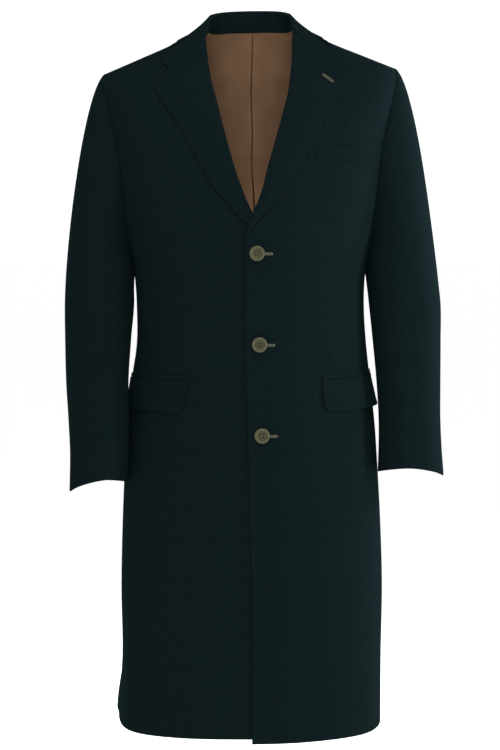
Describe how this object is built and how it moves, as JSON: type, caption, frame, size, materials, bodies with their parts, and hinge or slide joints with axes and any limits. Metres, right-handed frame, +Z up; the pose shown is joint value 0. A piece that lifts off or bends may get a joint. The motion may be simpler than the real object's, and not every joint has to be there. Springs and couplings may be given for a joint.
{
  "type": "topcoat",
  "caption": "Knee-length tailored wool topcoat with notch lapels, buttoned front, breast welt, flap pockets and back vent, hollow as worn but with no wearer",
  "frame": {"origin": "middle of the neck opening, level with the seam between the collar and the back, where the wearer carries the coat", "axes": "+Z up, -Y to the front, +X to the wearer's left"},
  "size_m": [0.5875, 0.3389, 1.1117],
  "materials": {
    "wool": "smooth milled wool cloth, near black with a green cast",
    "lining": "smooth brown lining with a soft sheen",
    "horn": "olive-brown horn look, half matt"
  },
  "bodies": {
    "root": {"front_left": "wool", "front_right": "wool", "back_left": "wool", "back_right": "wool", "top_sleeve_left": "wool", "top_sleeve_right": "wool", "under_sleeve_left": "wool", "under_sleeve_right": "wool", "collar": "wool", "lapel_left": "wool", "lapel_right": "wool", "breast_welt": "wool", "pocket_jet_left": "wool", "pocket_jet_right": "wool", "pocket_flap_left": "wool", "pocket_flap_right": "wool", "back_lining_left": "lining", "back_lining_right": "lining", "button_top": "horn", "button_middle": "horn", "button_bottom": "horn"}
  },
  "joints": []
}
